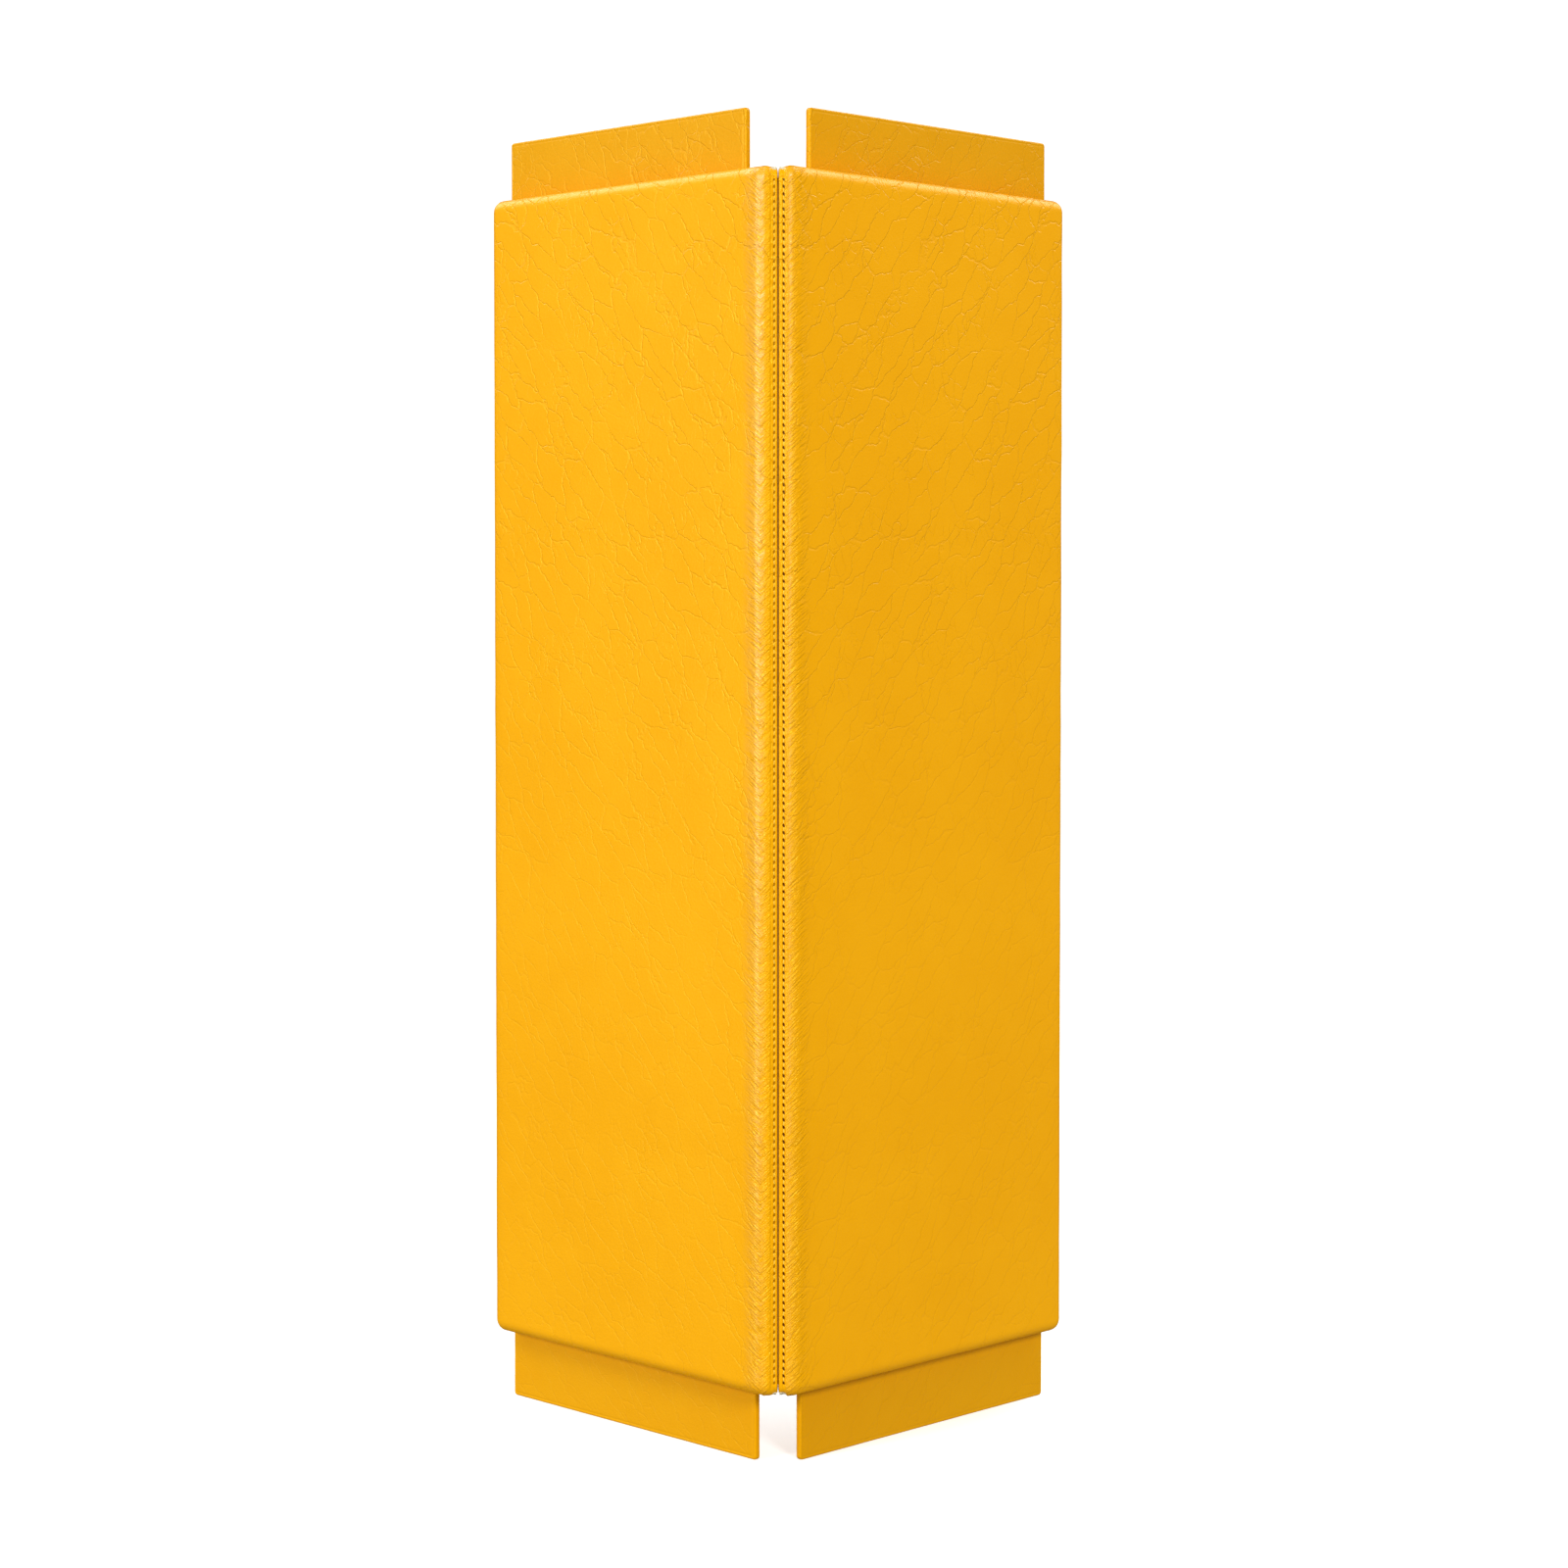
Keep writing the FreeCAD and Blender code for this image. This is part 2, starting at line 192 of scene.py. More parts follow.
def block(low, high):
    """A box between two corners."""
    bm = bmesh.new()
    size = Vector(high) - Vector(low)
    place = Matrix.Translation((Vector(low) + Vector(high)) / 2) @ Matrix.Diagonal((*size, 1))
    bmesh.ops.create_cube(bm, size=1, matrix=place)
    return bm


def middle(edge):
    return (edge.verts[0].co + edge.verts[1].co) / 2


def round_edges(bm, radius, segments, wanted):
    """Round the edges that pass a test of their middle and direction."""
    edges = [e for e in bm.edges if wanted(middle(e), (e.verts[1].co - e.verts[0].co).normalized())]
    bmesh.ops.bevel(bm, geom=edges, offset=radius, offset_type="OFFSET", segments=segments, profile=0.5,
                    affect="EDGES", clamp_overlap=False, material=-1)


def cut(bm, point, normal, keep_all=True, faces=None):
    """Cut faces along a plane, and drop what is on the side of its normal unless all is kept."""
    faces = bm.faces[:] if faces is None else faces
    geom = dict.fromkeys(part for face in faces for part in (face, *face.edges, *face.verts))
    bmesh.ops.bisect_plane(bm, geom=list(geom), dist=1e-4, plane_co=point, plane_no=normal,
                           clear_outer=not keep_all)


def padded_block(inset, back, gap, nose_steps):
    """The pad's outline taken in by an inset, rounded at its front and cut to its mitre at the seam."""
    ends = (PAD_LOW + inset, PAD_HIGH - inset)
    bm = block((NOSE_START - NOSE_RADIUS + inset, inset, ends[0]), (WING_WIDTH - inset, back, ends[1]))

    def nose(at, along):
        return abs(along.z) > ALIGNED and at.x < WING_WIDTH / 2 and at.y < back / 2

    def far_corner(at, along):
        return abs(along.y) > ALIGNED and at.x > WING_WIDTH / 2

    def front_rim(at, along):
        round_face = at.y < inset + TOUCHING and (abs(along.z) < ALIGNED or at.x > WING_WIDTH / 2)
        over_nose = at.y < NOSE_RADIUS and at.x < NOSE_START and abs(along.z) < 1 - ALIGNED
        return round_face or over_nose and min(abs(at.z - end) for end in ends) < TOUCHING

    round_edges(bm, NOSE_RADIUS - inset, nose_steps, nose)
    round_edges(bm, CORNER_RADIUS - inset, ROUND_STEPS, far_corner)
    round_edges(bm, EDGE_RADIUS - inset, ROUND_STEPS, front_rim)
    tip = (*wing_point(gap / 2, nose_surface(gap / 2)), 0)
    cut(bm, tip, (-sin(MITRE_ANGLE), cos(MITRE_ANGLE), 0), keep_all=False)
    return bm


def piece(name, bm, wing, material, body):
    """Make a mesh of a wing's piece, in its place, riding on its body with its finish."""
    bm.transform(wing)
    bmesh.ops.remove_doubles(bm, verts=bm.verts, dist=0.005 * MM)
    bmesh.ops.recalc_face_normals(bm, faces=bm.faces)
    mesh = bpy.data.meshes.new(name)
    bm.to_mesh(mesh)
    bm.free()
    mesh.shade_smooth()
    mesh.materials.append(material)
    made = bpy.data.objects.new(name, mesh)
    bpy.context.scene.collection.objects.link(made)
    if body:
        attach(made, body)
    return made


def foam():
    material, place = new_material("open_cell_foam")
    pores = place.node("TexVoronoi", None, {"Vector": place, "Scale": 900}).step(0.15, 0.6)
    lumps = place.noise(140, 4)
    surface(material, pores * 0.8 + lumps * 0.4, 0.0008, 0.8, roughness=0.95 - pores * 0.05,
            base_color=(pores * 0.75 + lumps * 0.25).tint((0.50, 0.40, 0.22), (0.84, 0.74, 0.50)))
    return material


foam_finish = foam()
noise.seed_set(1)       # so that noise_vector gives the same lumps each time
for side in SIDES:
    bm = padded_block(COVER_THICK + FOAM_CLEARANCE, FOAM_BACK, FOAM_GAP, FOAM_NOSE_STEPS)
    cut(bm, (*wing_point(0, FOAM_FLAT), 0), (-1, -1, 0), keep_all=False)
    bmesh.ops.holes_fill(bm, edges=[e for e in bm.edges if e.is_boundary])
    for height in FOAM_ROWS:
        cut(bm, (0, 0, height), (0, 0, 1))
    for vert in bm.verts:
        if vert.co.x < LUMPY_TO:
            vert.co += FOAM_LUMPS * noise.noise_vector(vert.co / LUMP_SIZE)
    pad = piece(f"{side}_foam", bm, WINGS[side], foam_finish, f"{side}_wing")
    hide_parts(f"{side}_foam_pad")


# ---------------------------------------------------------------------------------------------------
# Covers. Each wing has its own skin of embossed vinyl, stretched over the foam and stapled to the back
# of the core. The two skins meet in the seam, where their edges are turned in and pulled tight.

HEM_WIDTH, SEAM_GAP = 25.0, 0.6
NOSE_STEPS = 44
FINE_STEP, FINE_CUTS = 2.5, 4               # the mesh beside the nose, and over the rest of a face
FACE_STEP, FACE_CUTS = 5.0, 50
LONG_EDGE = 700
STITCH_PITCH, STITCHES, ROWS_PER_STITCH = 5.0, 163, 4
FIRST_HOLE = (PAD_LOW + PAD_HIGH - STITCH_PITCH * STITCHES) / 2
LAST_HOLE = FIRST_HOLE + STITCH_PITCH * STITCHES
ROW_OFFSETS = {"left": 2.6, "right": 3.8}   # from the seam to each stitch row
LIP, SHOULDER = (0.42, 0.3, 0.5), (-0.60, 8.6, 3.4)     # depth (less than 0 stands out), place and width
WELTS = {"left": (-0.15, 1.3, 0.45), "right": (-0.55, 1.95, 0.8)}
ROW_DEPTH, ROW_WIDTH = 0.34, 0.8
HOLE_DEPTH, PUCKER, CRUMPLE, CLOSING = 0.55, 2.0, 1.2, 0.25     # how far each moves the skin
CROWN, WAVES, RIPPLES, ROLLS = 0.55, 0.16, 0.10, 0.26
WEAR = {"left": 1.3, "right": 1.6}          # how deep each cover's creases are
FLANGE_WEAR = 0.75                          # the share of it on the flanges
CHEVRONS = {"left": 12.0, "right": 4.0}     # where the short rolls beside the seam turn
CHEVRON_SLOPE = 0.9
POLISH = {"left": (6.5, 10.0, 18.0, 26.0), "right": (4.8, 6.0, 8.0, 14.0)}      # the taut band that shines
DYES = (0.915, 0.402, 0.0), (0.945, 0.428, 0.0)
# Painted shade: darker colours laid into the creases, the seam's groove and the needle holes.
CREASE_SHADE_COLOUR, GROOVE_SHADE_COLOUR, HOLE_SHADE_COLOUR = (0.78, 0.30, 0.0), (0.30, 0.09, 0.0), (0.15, 0.022, 0.0)
HOLE_SHADE_STRENGTH = {"left": 0.6, "right": 1.0}
HOLE_WIDTH, HOLE_LENGTH, HOLE_LEAN = 0.85, 1.5, 1.2


def crease_lines(place, move, lean, squash, scale, width):
    """The lines between long cells that lean by some degrees: 1 on a crease and 0 away from it."""
    leaning = place.placed(move, (0, radians(lean), 0)).placed(stretch=(1, 1, squash))
    edges = place.node("TexVoronoi", {"feature": "DISTANCE_TO_EDGE"}, {"Vector": leaning, "Scale": scale})
    return 1 - edges.step(0.0, width)


def needle_holes(side, from_seam, height):
    """The slots where the thread goes in: 1 inside a hole and 0 away from it."""
    beat = ((height - FIRST_HOLE * MM) * (1 / (STITCH_PITCH * MM)) + 0.5).math("FRACT") - 0.5
    across = (from_seam - ROW_OFFSETS[side] * MM) * (1 / (HOLE_WIDTH * MM)) + beat * HOLE_LEAN
    along = beat * (STITCH_PITCH / HOLE_LENGTH)
    begins = height.step((FIRST_HOLE - 0.9) * MM, (FIRST_HOLE - 0.5) * MM)
    ends = height.step((LAST_HOLE + 0.5) * MM, (LAST_HOLE + 0.9) * MM)
    return (1 - (across * across + along * along).step(0.55, 1.25)) * (begins * (1 - ends))


def vinyl(name, side, stitched, painted_shade=1.0):
    """Golden vinyl with a fine pebble grain and long soft creases, stronger near the top and the seam. Its
    colour holds painted shade: darker creases, groove and needle holes, and a darker copy for each flange.
    """
    material, place = new_material(name)
    mirror = -1 if side == "left" else 1
    shift = -CORNER_Y * MM / ROOT2
    wing = place.placed((shift, shift, 0), (0, 0, radians(-45)), (mirror, 1, 1))
    height = wing.axis("Z")

    by_seam = 1 - wing.axis("X").step(0.016, 0.06)
    high_up = height.step(0.30, 0.80)
    wear = (0.40 + high_up * 0.5 + by_seam * 0.2) * (WEAR[side] * (1.0 if stitched else FLANGE_WEAR))
    drift = wing.node("VectorMath", {"operation": "SCALE"},
                      {0: wing.noise(60, 3, "Color"), "Scale": 0.013})
    warped = wing.node("VectorMath", {"operation": "ADD"}, {0: wing, 1: drift})
    broken = wing.noise(20, 2).step(0.26, 0.52)
    broken_short = wing.placed((5, 0, 2)).noise(26, 2).step(0.46, 0.62)
    creases = crease_lines(warped, (0, 0, 0), -42, 0.36, 66, 0.036) * broken * wear
    webbing = crease_lines(warped, (0.3, 0.1, 0.7), 24, 0.6, 105, 0.05) * broken_short * wear
    grain = wing.noise(1000, 2)
    pebbles = wing.node("TexVoronoi", {"feature": "SMOOTH_F1"}, {"Vector": wing, "Scale": 560})

    relief = grain * 0.17 + pebbles * 0.20 - creases * 0.46 - webbing * 0.26
    patches = (wing.noise(7, 3) * 0.7 + wing.noise(45, 2) * 0.3).step(0.3, 0.7)
    # Painted shade: the flange wraps scale the dye colours down by this factor; the covers keep 1.0.
    colour = patches.tint(*([part * painted_shade for part in dye] for dye in DYES))
    # Painted shade: the colour darkens a little along the creases and the webbing.
    colour = (creases * 0.08 + webbing * 0.05).tint(colour, CREASE_SHADE_COLOUR)
    shine = 0.0
    if stitched:
        from_seam = place.axis("X").math("ABSOLUTE")
        holes = needle_holes(side, from_seam, height)
        # Painted shade: the colour turns dark brown within a millimetre of the seam, down in its groove.
        colour = ((1 - from_seam.step(0.35 * MM, 1.0 * MM)) * 0.8).tint(colour, GROOVE_SHADE_COLOUR)
        # Painted shade: the needle holes are darkened towards deep brown, less on the left row.
        colour = (holes * HOLE_SHADE_STRENGTH[side]).tint(colour, HOLE_SHADE_COLOUR)
        chevron = height - (from_seam - CHEVRONS[side] * MM).math("ABSOLUTE") * CHEVRON_SLOPE
        strip = place.node("CombineXYZ", None,
                           {"X": chevron, "Y": from_seam * 0.22, "Z": wing.noise(40) * 0.004})
        rolls = strip.noise(640, 2)
        band = from_seam.step(0.0042, 0.0065) * (1 - from_seam.step(0.015, 0.024))
        relief = relief + rolls * band * 3.0
        near, full, fading, gone = POLISH[side]
        polish = from_seam.step(near * MM, full * MM) * (1 - from_seam.step(fading * MM, gone * MM))
        ridges = 1 - (rolls - 0.5).math("ABSOLUTE").step(0.0, 0.05)
        shine = polish * (ridges * 0.8 + rolls.step(0.4, 0.66) * 0.5 + 0.15)
    surface(material, relief, 0.0006, 0.8, base_color=colour,
            roughness=0.33 + patches * 0.05 + creases * 0.1 - by_seam * 0.05,
            coat_weight=shine, coat_roughness=0.33, specular_IOR_level=0.6,
            specular_tint=(1.0, 0.86, 0.12, 1))
    return material


cover_finish = {side: vinyl(f"{side}_cover_vinyl", side, True) for side in SIDES}


def share(value):
    return max(0.0, min(1.0, value))


def hump(distance, width):
    """A smooth hump of height 1, at its middle or a distance away from it."""
    return exp(-(distance / width) ** 2)


def seam_depth(side, across):
    """How far behind the nose the skin lies near the seam: its lip, welt, stitch row and shoulder."""
    shapes = (LIP, WELTS[side], (ROW_DEPTH, ROW_OFFSETS[side], ROW_WIDTH), SHOULDER)
    return sum(depth * hump(across - place, width) for depth, place, width in shapes)


def seam_move(side, across, here, normal, z):
    """How far the seam pulls a point of the skin: in at the stitches, and along at its puckered ends."""
    from_end = min(z - PAD_LOW, PAD_HIGH - z)
    past_end = max(from_end, 0)
    deeper = seam_depth(side, max(across, 0.3))
    if FIRST_HOLE - 1 < z < LAST_HOLE + 1:
        beat = ((z - FIRST_HOLE) / STITCH_PITCH + 0.5) % 1 - 0.5
        deeper += HOLE_DEPTH * hump(across - ROW_OFFSETS[side], 0.6) * hump(beat * STITCH_PITCH, 1.1)
    crumple = CRUMPLE * exp(-past_end / 6) * hump(across - 5, 5 * ROOT2) * noise.noise(here / 3.2)
    pucker = PUCKER * exp(-past_end / 9) * hump(max(across, 0.3), 5.0)
    pucker *= 0.85 + 0.3 * noise.noise(here / 4)
    move = normal * crumple + Vector((1, 1, 0)) / ROOT2 * deeper
    move.z += pucker if z < (PAD_LOW + PAD_HIGH) / 2 else -pucker
    if across < 1.2:
        move += Vector((-1, 1, 0)) / ROOT2 * CLOSING * exp(-max(from_end - 9, 0) / 5)
    return move


def shape_cover(bm, side, seed):
    """Sculpt the tight cover: a slight crown, the pull of the seam and the short rolls beside it."""
    bm.normal_update()
    moves = []
    for vert in bm.verts:
        u, v, z = vert.co
        across = (u - v) / ROOT2
        here = Vector((u, v, z + seed))
        front = share((PAD_BACK - COVER_THICK - v) / 9)
        along_face = share((u - 10) / (WING_WIDTH - 20))
        up_face = share((z - PAD_LOW) / (PAD_HIGH - PAD_LOW))
        crown = CROWN * (sin(pi * along_face) * sin(pi * up_face)) ** 0.6
        soft = WAVES * noise.noise(here / 60) + RIPPLES * noise.noise(here / 22)
        rolls = 0.0
        if across >= ROW_OFFSETS[side]:
            turn = across - CHEVRONS[side]
            chevron = Vector(((z - CHEVRON_SLOPE * abs(turn)) * 0.3, across * 0.06, seed))
            rolls = ROLLS * exp(-max(turn - 2, 0.0) / 8.0) * noise.noise(chevron)
        move = vert.normal * front * (crown + soft + rolls)
        if across < 16 and v < 16:
            move += seam_move(side, across, here, vert.normal, z)
        moves.append(move)
    for vert, move in zip(bm.verts, moves):
        vert.co += move


def cover_skin(side, seed):
    """The skin's outline, open at the mitre and inside its hem, with a mesh fine enough to sculpt."""
    bm = padded_block(0, PAD_BACK, SEAM_GAP, NOSE_STEPS)
    mitre = Vector((-sin(MITRE_ANGLE), cos(MITRE_ANGLE), 0))
    bmesh.ops.delete(bm, context="FACES_ONLY", geom=[f for f in bm.faces if f.normal.dot(mitre) > ALIGNED])
    for u in (WING_WIDTH - HEM_WIDTH, *(NOSE_START + FINE_STEP * n for n in range(1, FINE_CUTS + 1)),
              *(NOSE_START + FINE_STEP * (FINE_CUTS + 1) + FACE_STEP * n for n in range(1, FACE_CUTS + 1))):
        cut(bm, (u, 0, 0), (1, 0, 0))
    hem_low, hem_high = PAD_LOW + HEM_WIDTH, PAD_HIGH - HEM_WIDTH
    for z in (hem_low, hem_high):
        cut(bm, (0, 0, z), (0, 0, 1), faces=[f for f in bm.faces if f.normal.y > ALIGNED])
    bmesh.ops.delete(bm, context="FACES", geom=[
        f for f in bm.faces if f.normal.y > ALIGNED and f.calc_center_median().x < WING_WIDTH - HEM_WIDTH
        and hem_low < f.calc_center_median().z < hem_high])
    for z in (FIRST_HOLE, LAST_HOLE):
        cut(bm, (0, 0, z), (0, 0, 1), faces=[f for f in bm.faces if f.normal.y < ALIGNED])
    long_edges = [e for e in bm.edges if e.calc_length() > LONG_EDGE and middle(e).y < PAD_BACK - TOUCHING]
    bmesh.ops.subdivide_edges(bm, edges=long_edges, cuts=STITCHES - 1, use_grid_fill=True)
    nose_edges = [e for e in bm.edges if max(v.co.x for v in e.verts) < NOSE_START + TOUCHING
                  and abs(e.verts[0].co.z - e.verts[1].co.z) > STITCH_PITCH * 0.9]
    bmesh.ops.subdivide_edges(bm, edges=nose_edges, cuts=ROWS_PER_STITCH - 1, use_grid_fill=True)
    shape_cover(bm, side, seed)
    return bm


def give_wall(made, thick):
    """Thicken a skin inwards."""
    wall = made.modifiers.new("wall", "SOLIDIFY")
    wall.thickness, wall.offset, wall.use_even_offset = thick * MM, -1, True


for side, seed in (("left", 0.0), ("right", 517.0)):
    cover = piece(f"{side}_cover_skin", cover_skin(side, seed), WINGS[side], cover_finish[side],
                  f"{side}_wing")
    give_wall(cover, COVER_THICK)
    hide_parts(f"{side}_cover")


# ---------------------------------------------------------------------------------------------------
# Topstitching. A row of thick bonded thread runs down each side of the seam, through cover and tape.
# Every stitch dives into its own needle hole and leans a little, one left and the next right.

THREAD_RADIUS, STITCH_SIDES, STITCH_BENDS = 0.36, 6, 6
STITCH_REACH, STITCH_RISE, STITCH_SINK, STITCH_WANDER = 2.9, 0.6, 0.12, 0.12
STITCH_LEANS, LEAN_WANDER = (radians(-5), radians(7)), radians(6)


def thread(name, low, high):
    material, place = new_material(name)
    plies = place.placed(turn=(0, radians(38), 0))
    twist = plies.node("TexWave", {"bands_direction": "Z"},
                       {"Vector": plies, "Scale": 520, "Distortion": 0.6})
    fuzz = place.noise(2600, 2)
    surface(material, twist * 0.8 + fuzz * 0.2, 0.00012, 0.7, roughness=0.5 + fuzz * 0.15,
            specular_IOR_level=0.4, specular_tint=(1.0, 0.86, 0.2, 1),
            base_color=(twist * 0.6 + fuzz * 0.4).tint(low, high))
    return material


def add_stitch(bm, across, depth, height, lean):
    """One stitch: a ring spun through a shallow arc that rises from hole to hole."""
    before = set(bm.verts)
    arc = STITCH_REACH ** 2 / (8 * STITCH_RISE) + STITCH_RISE / 2
    half = asin(STITCH_REACH / 2 / arc)
    ring = bmesh.ops.create_circle(bm, segments=STITCH_SIDES, radius=THREAD_RADIUS,
                                   matrix=Matrix.Translation((0, -arc, 0)))["verts"]
    bmesh.ops.rotate(bm, verts=ring, matrix=Matrix.Rotation(-half, 3, "X"))
    rim = dict.fromkeys(e for vert in ring for e in vert.link_edges)
    spun = bmesh.ops.spin(bm, geom=[*ring, *rim], axis=(1, 0, 0), cent=(0, 0, 0), dvec=(0, 0, 0),
                          angle=2 * half, steps=STITCH_BENDS)
    last = [g for g in spun["geom_last"] if isinstance(g, bmesh.types.BMVert)]
    for end in (ring, last):
        bmesh.ops.contextual_create(bm, geom=end)
    u, v = wing_point(across, depth + arc)
    to_seam = Matrix.Translation((u, v, height)) @ Matrix.Rotation(radians(-45), 4, "Z")
    bmesh.ops.transform(bm, matrix=to_seam @ Matrix.Rotation(lean, 4, "Y"),
                        verts=[vert for vert in bm.verts if vert not in before])


thread_finish = thread("bonded_thread", (0.80, 0.44, 0.01), (1.0, 0.80, 0.14))
for side, seed in (("left", 2.0), ("right", 9.0)):
    bm = bmesh.new()
    offset = ROW_OFFSETS[side]
    depth = nose_surface(offset) + seam_depth(side, offset) - STITCH_SINK
    for n in range(STITCHES):
        wander = Vector((n * 0.37, seed, 0))
        lean = STITCH_LEANS[n % 2] + LEAN_WANDER * noise.noise(wander + Vector((0, 4, 0)))
        add_stitch(bm, offset + STITCH_WANDER * noise.noise(wander), depth,
                   FIRST_HOLE + STITCH_PITCH * (n + 0.5), lean)
    row = piece(f"{side}_stitches", bm, WINGS[side], thread_finish, f"{side}_wing")
    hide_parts(f"{side}_topstitch")


# ---------------------------------------------------------------------------------------------------
# Seam tape. A strip of woven tape is stitched behind the seam to take its strain. It is the guard's
# hinge, but here it stays fixed and rides on neither wing.

TAPE_HALF, TAPE_THICK, TAPE_DEPTH = 7.5, 0.6, 14.236
TAPE_LOW, TAPE_HIGH = PAD_LOW + 9, PAD_HIGH - 9
TAPE_COLUMNS, TAPE_ROWS, TAPE_RIPPLE = 12, 200, 0.05


def woven(name):
    material, place = new_material(name)
    warp = place.node("TexWave", {"bands_direction": "X"}, {"Vector": place, "Scale": 160})
    weft = place.node("TexWave", {"bands_direction": "Z"}, {"Vector": place, "Scale": 190})
    soil = place.noise(60, 3)
    cloth = warp * weft
    surface(material, cloth, 0.0002, 0.7, roughness=0.88 - soil * 0.08,
            base_color=(cloth * 0.6 + soil * 0.4).tint((0.26, 0.12, 0.01), (0.50, 0.27, 0.03)))
    return material


bm = bmesh.new()
tape_place = (Matrix.Translation((0, CORNER_Y + TAPE_DEPTH, (TAPE_LOW + TAPE_HIGH) / 2))
              @ Matrix.Rotation(radians(90), 4, "X")
              @ Matrix.Diagonal((TAPE_HALF, (TAPE_HIGH - TAPE_LOW) / 2, 1, 1)))
bmesh.ops.create_grid(bm, x_segments=TAPE_COLUMNS, y_segments=TAPE_ROWS, size=1, matrix=tape_place)
for vert in bm.verts:
    vert.co.y += TAPE_RIPPLE * noise.noise(vert.co / 6)
bmesh.ops.solidify(bm, geom=bm.faces[:], thickness=-TAPE_THICK)
tape = piece("seam_tape_strip", bm, Matrix.Scale(MM, 4), woven("woven_tape"), None)
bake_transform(tape)
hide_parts("seam_tape")


# ---------------------------------------------------------------------------------------------------
# Closing thread. A finer thread laces the two turned-in edges together at the bottom of the groove,
# crossing from one cover to the other between the needle holes.

LACE_RADIUS, LACE_DEPTH, LACE_SWING = 0.16, 13.9, 0.16

curve = bpy.data.curves.new("lace", "CURVE")
curve.dimensions, curve.use_fill_caps = "3D", True
curve.bevel_depth, curve.bevel_resolution = LACE_RADIUS * MM, 1
spline = curve.splines.new("NURBS")
crossings = int((TAPE_HIGH - TAPE_LOW) / (STITCH_PITCH / 2))
spline.points.add(crossings)
for n, point in enumerate(spline.points):
    height = TAPE_LOW + (TAPE_HIGH - TAPE_LOW) * n / crossings
    swing = LACE_SWING * (1 if n % 2 else -1)
    point.co = (swing * MM, (CORNER_Y + LACE_DEPTH) * MM, height * MM, 1)
spline.order_u, spline.use_endpoint_u, spline.resolution_u = 3, True, 3
shaft = bpy.data.objects.new("lace", curve)
bm = bmesh.new()
bm.from_mesh(bpy.data.meshes.new_from_object(shaft))
bpy.data.objects.remove(shaft)
# Painted shade: the lace is the bonded thread's colours darkened to about a third, as it lies deep in the
# groove.
lace_finish = thread("shaded_thread", (0.28, 0.154, 0.01), (0.35, 0.28, 0.049))
lace = piece("seam_lacing", bm, Matrix.Identity(4), lace_finish, None)
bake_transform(lace)
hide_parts("seam_thread")


# ---------------------------------------------------------------------------------------------------
# Mounting boards. A sheet of tempered hardboard is screwed to the back of each core. It runs on above
# and below the pad, where its ends are wrapped, and its bare back goes against the wall.

def hardboard():
    material, place = new_material("tempered_hardboard")
    fibres = place.placed(stretch=(1, 1, 0.5)).noise(900, 5)
    clouds = place.noise(14, 4)
    mesh_marks = place.node("TexVoronoi", None, {"Vector": place, "Scale": 420})
    tone = (fibres * 0.75 + clouds * 0.25).step(0.25, 0.75)
    surface(material, fibres * 0.6 + mesh_marks * 0.4, 0.0002, 0.5, roughness=0.55 + fibres * 0.15,
            base_color=tone.tint((0.15, 0.072, 0.030), (0.27, 0.145, 0.068)))
    return material


hardboard_finish = hardboard()
for side in SIDES:
    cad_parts[f"{side}_mounting_board"].material_slots[0].material = hardboard_finish


# ---------------------------------------------------------------------------------------------------
# Flange wraps. The same vinyl is folded over each end of the mounting board like an envelope, so that
# the flanges above and below the pad match it, each darkened by painted shade. The open edge is tucked behind
# the pad.

WRAP_FRONT, WRAP_BACK, WRAP_THICK = 18.0, 22.6, 0.8
WRAP_RADIUS, WRAP_CORNER, WRAP_ROUND_STEPS = 1.2, 2.5, 4
WRAP_COLUMNS, WRAP_ROWS = 50, 16
FOLD_CUTS = [0.5 * n for n in range(3, 9)]  # a fine mesh where the vinyl turns over the board's edge
FOLD_DEPTH, FOLD_PLACE, FOLD_WIDTH, EDGE_WANDER = 0.22, 2.4, 0.55, 0.12
WRAPS = {                                   # inner end, outer end, closed edge and tucked edge
    "top_flange": (49.0, 296.5, 929.6, 858.0),
    "bottom_flange": (40.0, 296.5, 0.0, 78.8),
}
# Painted shade: each flange's vinyl colour is scaled down by its factor, darker where the pad and the lights
# leave it in shade.
WRAP_PAINTED_SHADE = {
    "left": {"top_flange": 0.84, "bottom_flange": 0.93},
    "right": {"top_flange": 0.85, "bottom_flange": 0.85},
}


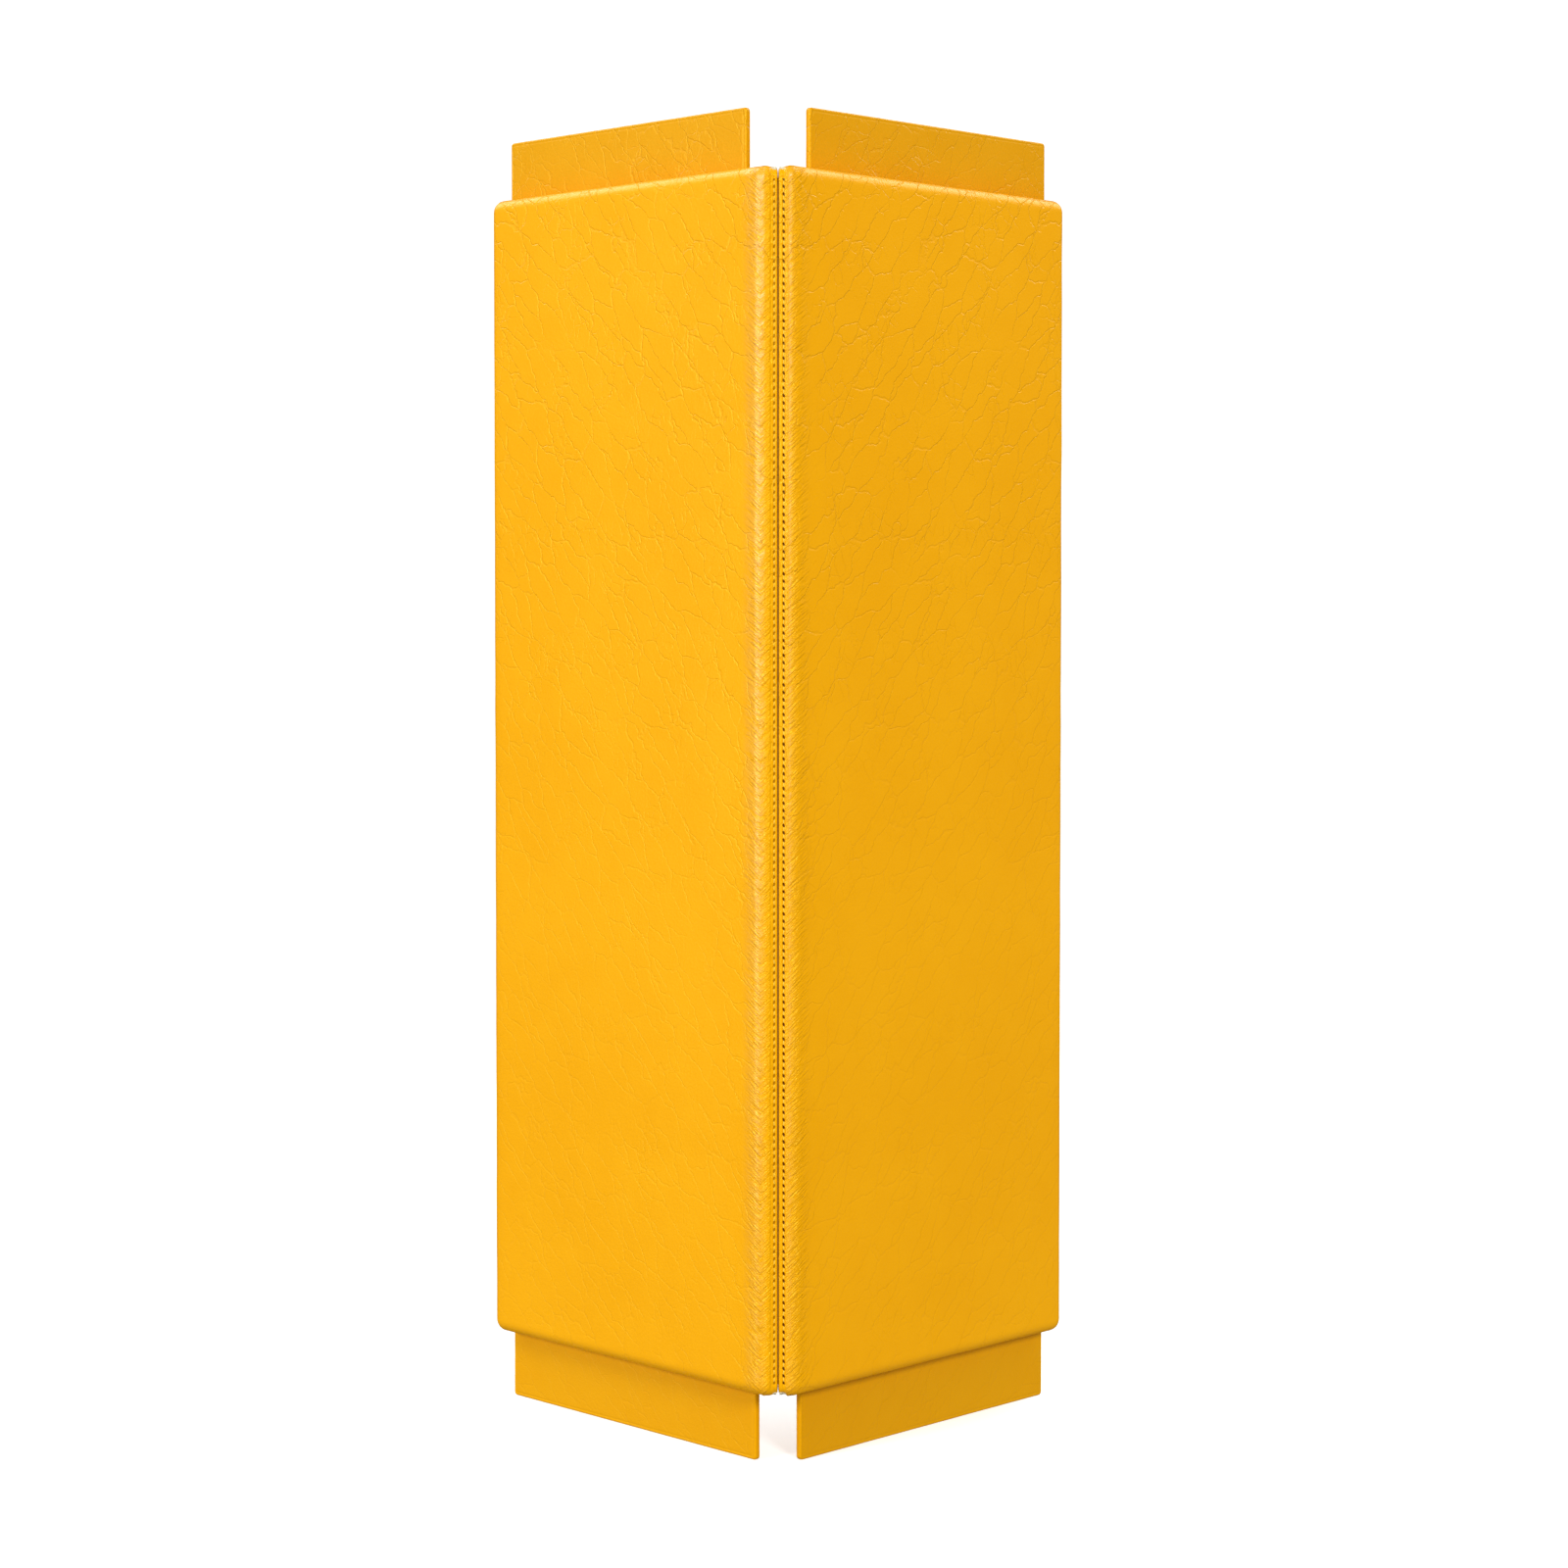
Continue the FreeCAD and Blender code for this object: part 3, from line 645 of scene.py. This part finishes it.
def envelope(inner, outer, shut, tucked, seed):
    """A flat envelope of vinyl, open at its tucked edge, with soft ripples and a pinched fold."""
    low, high = sorted((shut, tucked))
    inwards = 1 if shut == low else -1
    bm = block((inner, WRAP_FRONT, low), (outer, WRAP_BACK, high))
    bmesh.ops.delete(bm, context="FACES_ONLY", geom=[
        f for f in bm.faces if abs(f.calc_center_median().z - tucked) < 0.1])
    round_edges(bm, WRAP_CORNER, WRAP_ROUND_STEPS,
                lambda at, along: abs(along.y) > ALIGNED and abs(at.z - shut) < 0.1)
    round_edges(bm, WRAP_RADIUS, WRAP_ROUND_STEPS,
                lambda at, along: abs(along.y) < ALIGNED and abs(at.z - tucked) > 0.1)
    for u in (*(inner + step for step in FOLD_CUTS), *(outer - step for step in FOLD_CUTS),
              *(inner + (outer - inner) * n / WRAP_COLUMNS for n in range(1, WRAP_COLUMNS))):
        cut(bm, (u, 0, 0), (1, 0, 0))
    for z in (*(shut + inwards * step for step in FOLD_CUTS),
              *(low + (high - low) * n / WRAP_ROWS for n in range(1, WRAP_ROWS))):
        cut(bm, (0, 0, z), (0, 0, 1))
    for vert in bm.verts:
        u, v, z = vert.co
        here = Vector((u, v * 4, z + seed))
        ripple = 0.10 * noise.noise(here / 30) + 0.05 * noise.noise(here / 9)
        fold = FOLD_DEPTH * hump(min(u - inner, outer - u, abs(z - shut)) - FOLD_PLACE, FOLD_WIDTH)
        backwards = 1 if v > (WRAP_FRONT + WRAP_BACK) / 2 else -1
        vert.co.y += (ripple * share(abs(z - tucked) / 30) - fold) * backwards
        if abs(z - shut) < 3:
            vert.co.z += EDGE_WANDER * abs(noise.noise(here / 18)) * inwards
    return bm


for side, side_seed in (("left", 0), ("right", 300)):
    for (flange, edges), flange_seed in zip(WRAPS.items(), (0, 100)):
        finish = vinyl(f"{side}_{flange}_finish", side, False, WRAP_PAINTED_SHADE[side][flange])
        wrap = piece(f"{side}_{flange}_vinyl", envelope(*edges, side_seed + flange_seed), WINGS[side],
                     finish, f"{side}_wing")
        give_wall(wrap, WRAP_THICK)
        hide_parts(f"{side}_{flange}_wrap")


# ---------------------------------------------------------------------------------------------------
# Fasteners. Wire staples hold the covers and the wraps, and countersunk screws hold the mounting boards.
# Both are zinc plated, and their heads lie flush.

def zinc(name, low, high, scale):
    material, place = new_material(name)
    spangle = place.node("TexVoronoi", None, {"Vector": place, "Scale": scale})
    smears = place.noise(300, 3)
    surface(material, smears, 0.0001, 0.3, metallic=0.5, roughness=0.35 + smears * 0.2,
            base_color=(spangle * 0.5 + smears * 0.5).tint(low, high))
    return material


staple_finish = zinc("staple_zinc", (0.45, 0.45, 0.46), (0.72, 0.72, 0.73), 900)
screw_finish = zinc("screw_zinc", (0.42, 0.40, 0.34), (0.74, 0.70, 0.58), 700)
for side in SIDES:
    for part, finish in (("cover_staples", staple_finish), ("wrap_staples", staple_finish),
                         ("board_screws", screw_finish)):
        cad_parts[f"{side}_{part}"].material_slots[0].material = finish


# ---------------------------------------------------------------------------------------------------
# Studio. The guard stands on a round white sweep, between two large soft lights in front and two behind
# that catch its edges. Two tall strips show only as the gloss beside the seam.

FLOOR_RADIUS, FLOOR_SIDES = 6.0, 96
SWEEP_RADIUS, SWEEP_STEPS, WALL_HIGH = 1.5, 12, 9.0
LIT_POINT = Vector((0, 0, 0.5))
LIGHTS = {                                  # place, size across, power, and the height of a strip
    "key": ((-8.46, -6.15, 4.1), 2.5, 550, None),
    "fill": ((3.6, -8.6, 4.6), 2.5, 544, None),
    "left_strip": ((-3.74, -1.42, 0.9), 0.8, 52, 2.4),
    "right_strip": ((0.7, -3.9, 0.9), 0.5, 30, 2.4),
    "left_rim": ((-2.4, 1.6, 3.2), 2.6, 56, None),
    "right_rim": ((2.4, 1.6, 3.2), 2.6, 56, None),
}
CAMERA_PLACE, CAMERA_TILT = (0, -2.2460, 0.5956), radians(90 - 1.869)
LENS_LENGTH, SENSOR_WIDTH, LENS_SHIFT = 72.79, 36.0, (0.0038, -0.0535)


def white_sweep():
    material, place = new_material("white_sweep")
    mottle = place.noise(1.5, 1)
    surface(material, mottle, 0.0001, 0.1, roughness=0.9, specular_IOR_level=0.1,
            base_color=mottle.tint((0.80, 0.80, 0.80), (0.82, 0.82, 0.82)),
            emission_color=(1.0, 1.0, 1.0, 1), emission_strength=0.48)
    return material


def sweep_mesh():
    """A round floor whose rim curves up into a wall."""
    bm = bmesh.new()
    floor = bmesh.ops.create_circle(bm, cap_ends=True, segments=FLOOR_SIDES, radius=FLOOR_RADIUS)["verts"]
    rim = list(dict.fromkeys(e for vert in floor for e in vert.link_edges))
    reach, rise = FLOOR_RADIUS, 0.0
    for n in range(1, SWEEP_STEPS + 2):
        angle = radians(90) * min(n, SWEEP_STEPS) / SWEEP_STEPS
        next_reach = FLOOR_RADIUS + SWEEP_RADIUS * sin(angle)
        next_rise = SWEEP_RADIUS * (1 - cos(angle)) if n <= SWEEP_STEPS else WALL_HIGH
        made = bmesh.ops.extrude_edge_only(bm, edges=rim)["geom"]
        ring = [g for g in made if isinstance(g, bmesh.types.BMVert)]
        bmesh.ops.scale(bm, verts=ring, vec=(next_reach / reach, next_reach / reach, 1))
        bmesh.ops.translate(bm, verts=ring, vec=(0, 0, next_rise - rise))
        rim = [g for g in made if isinstance(g, bmesh.types.BMEdge)]
        reach, rise = next_reach, next_rise
    mesh = bpy.data.meshes.new("sweep")
    bm.to_mesh(mesh)
    bm.free()
    mesh.shade_smooth()
    mesh.materials.append(white_sweep())
    return mesh


sweep = bpy.data.objects.new("sweep", sweep_mesh())
bpy.context.scene.collection.objects.link(sweep)
sweep.visible_diffuse = sweep.visible_glossy = sweep.visible_shadow = False

for name, (place, size, power, strip_height) in LIGHTS.items():
    lamp = bpy.data.lights.new(name, "AREA")
    lamp.shape, lamp.size, lamp.energy = "RECTANGLE" if strip_height else "DISK", size, power
    if strip_height:
        lamp.size_y = strip_height
    light = bpy.data.objects.new(name, lamp)
    light.location = place
    light.rotation_euler = (LIT_POINT - Vector(place)).to_track_quat("-Z", "Y").to_euler()
    light.visible_diffuse = not strip_height
    bpy.context.scene.collection.objects.link(light)

world = bpy.data.worlds.new("surround")
world.use_nodes = True
world.node_tree.nodes["Background"].inputs["Color"].default_value = (0.5, 0.5, 0.5, 1)
bpy.context.scene.world = world
world.cycles_visibility.glossy = False
bpy.context.scene.view_settings.view_transform = "Standard"

lens = bpy.data.cameras.new("camera")
lens.lens, lens.sensor_width = LENS_LENGTH, SENSOR_WIDTH
lens.shift_x, lens.shift_y = LENS_SHIFT
camera = bpy.data.objects.new("camera", lens)
camera.location = CAMERA_PLACE
camera.rotation_euler = (CAMERA_TILT, 0, 0)
bpy.context.scene.collection.objects.link(camera)
bpy.context.scene.camera = camera
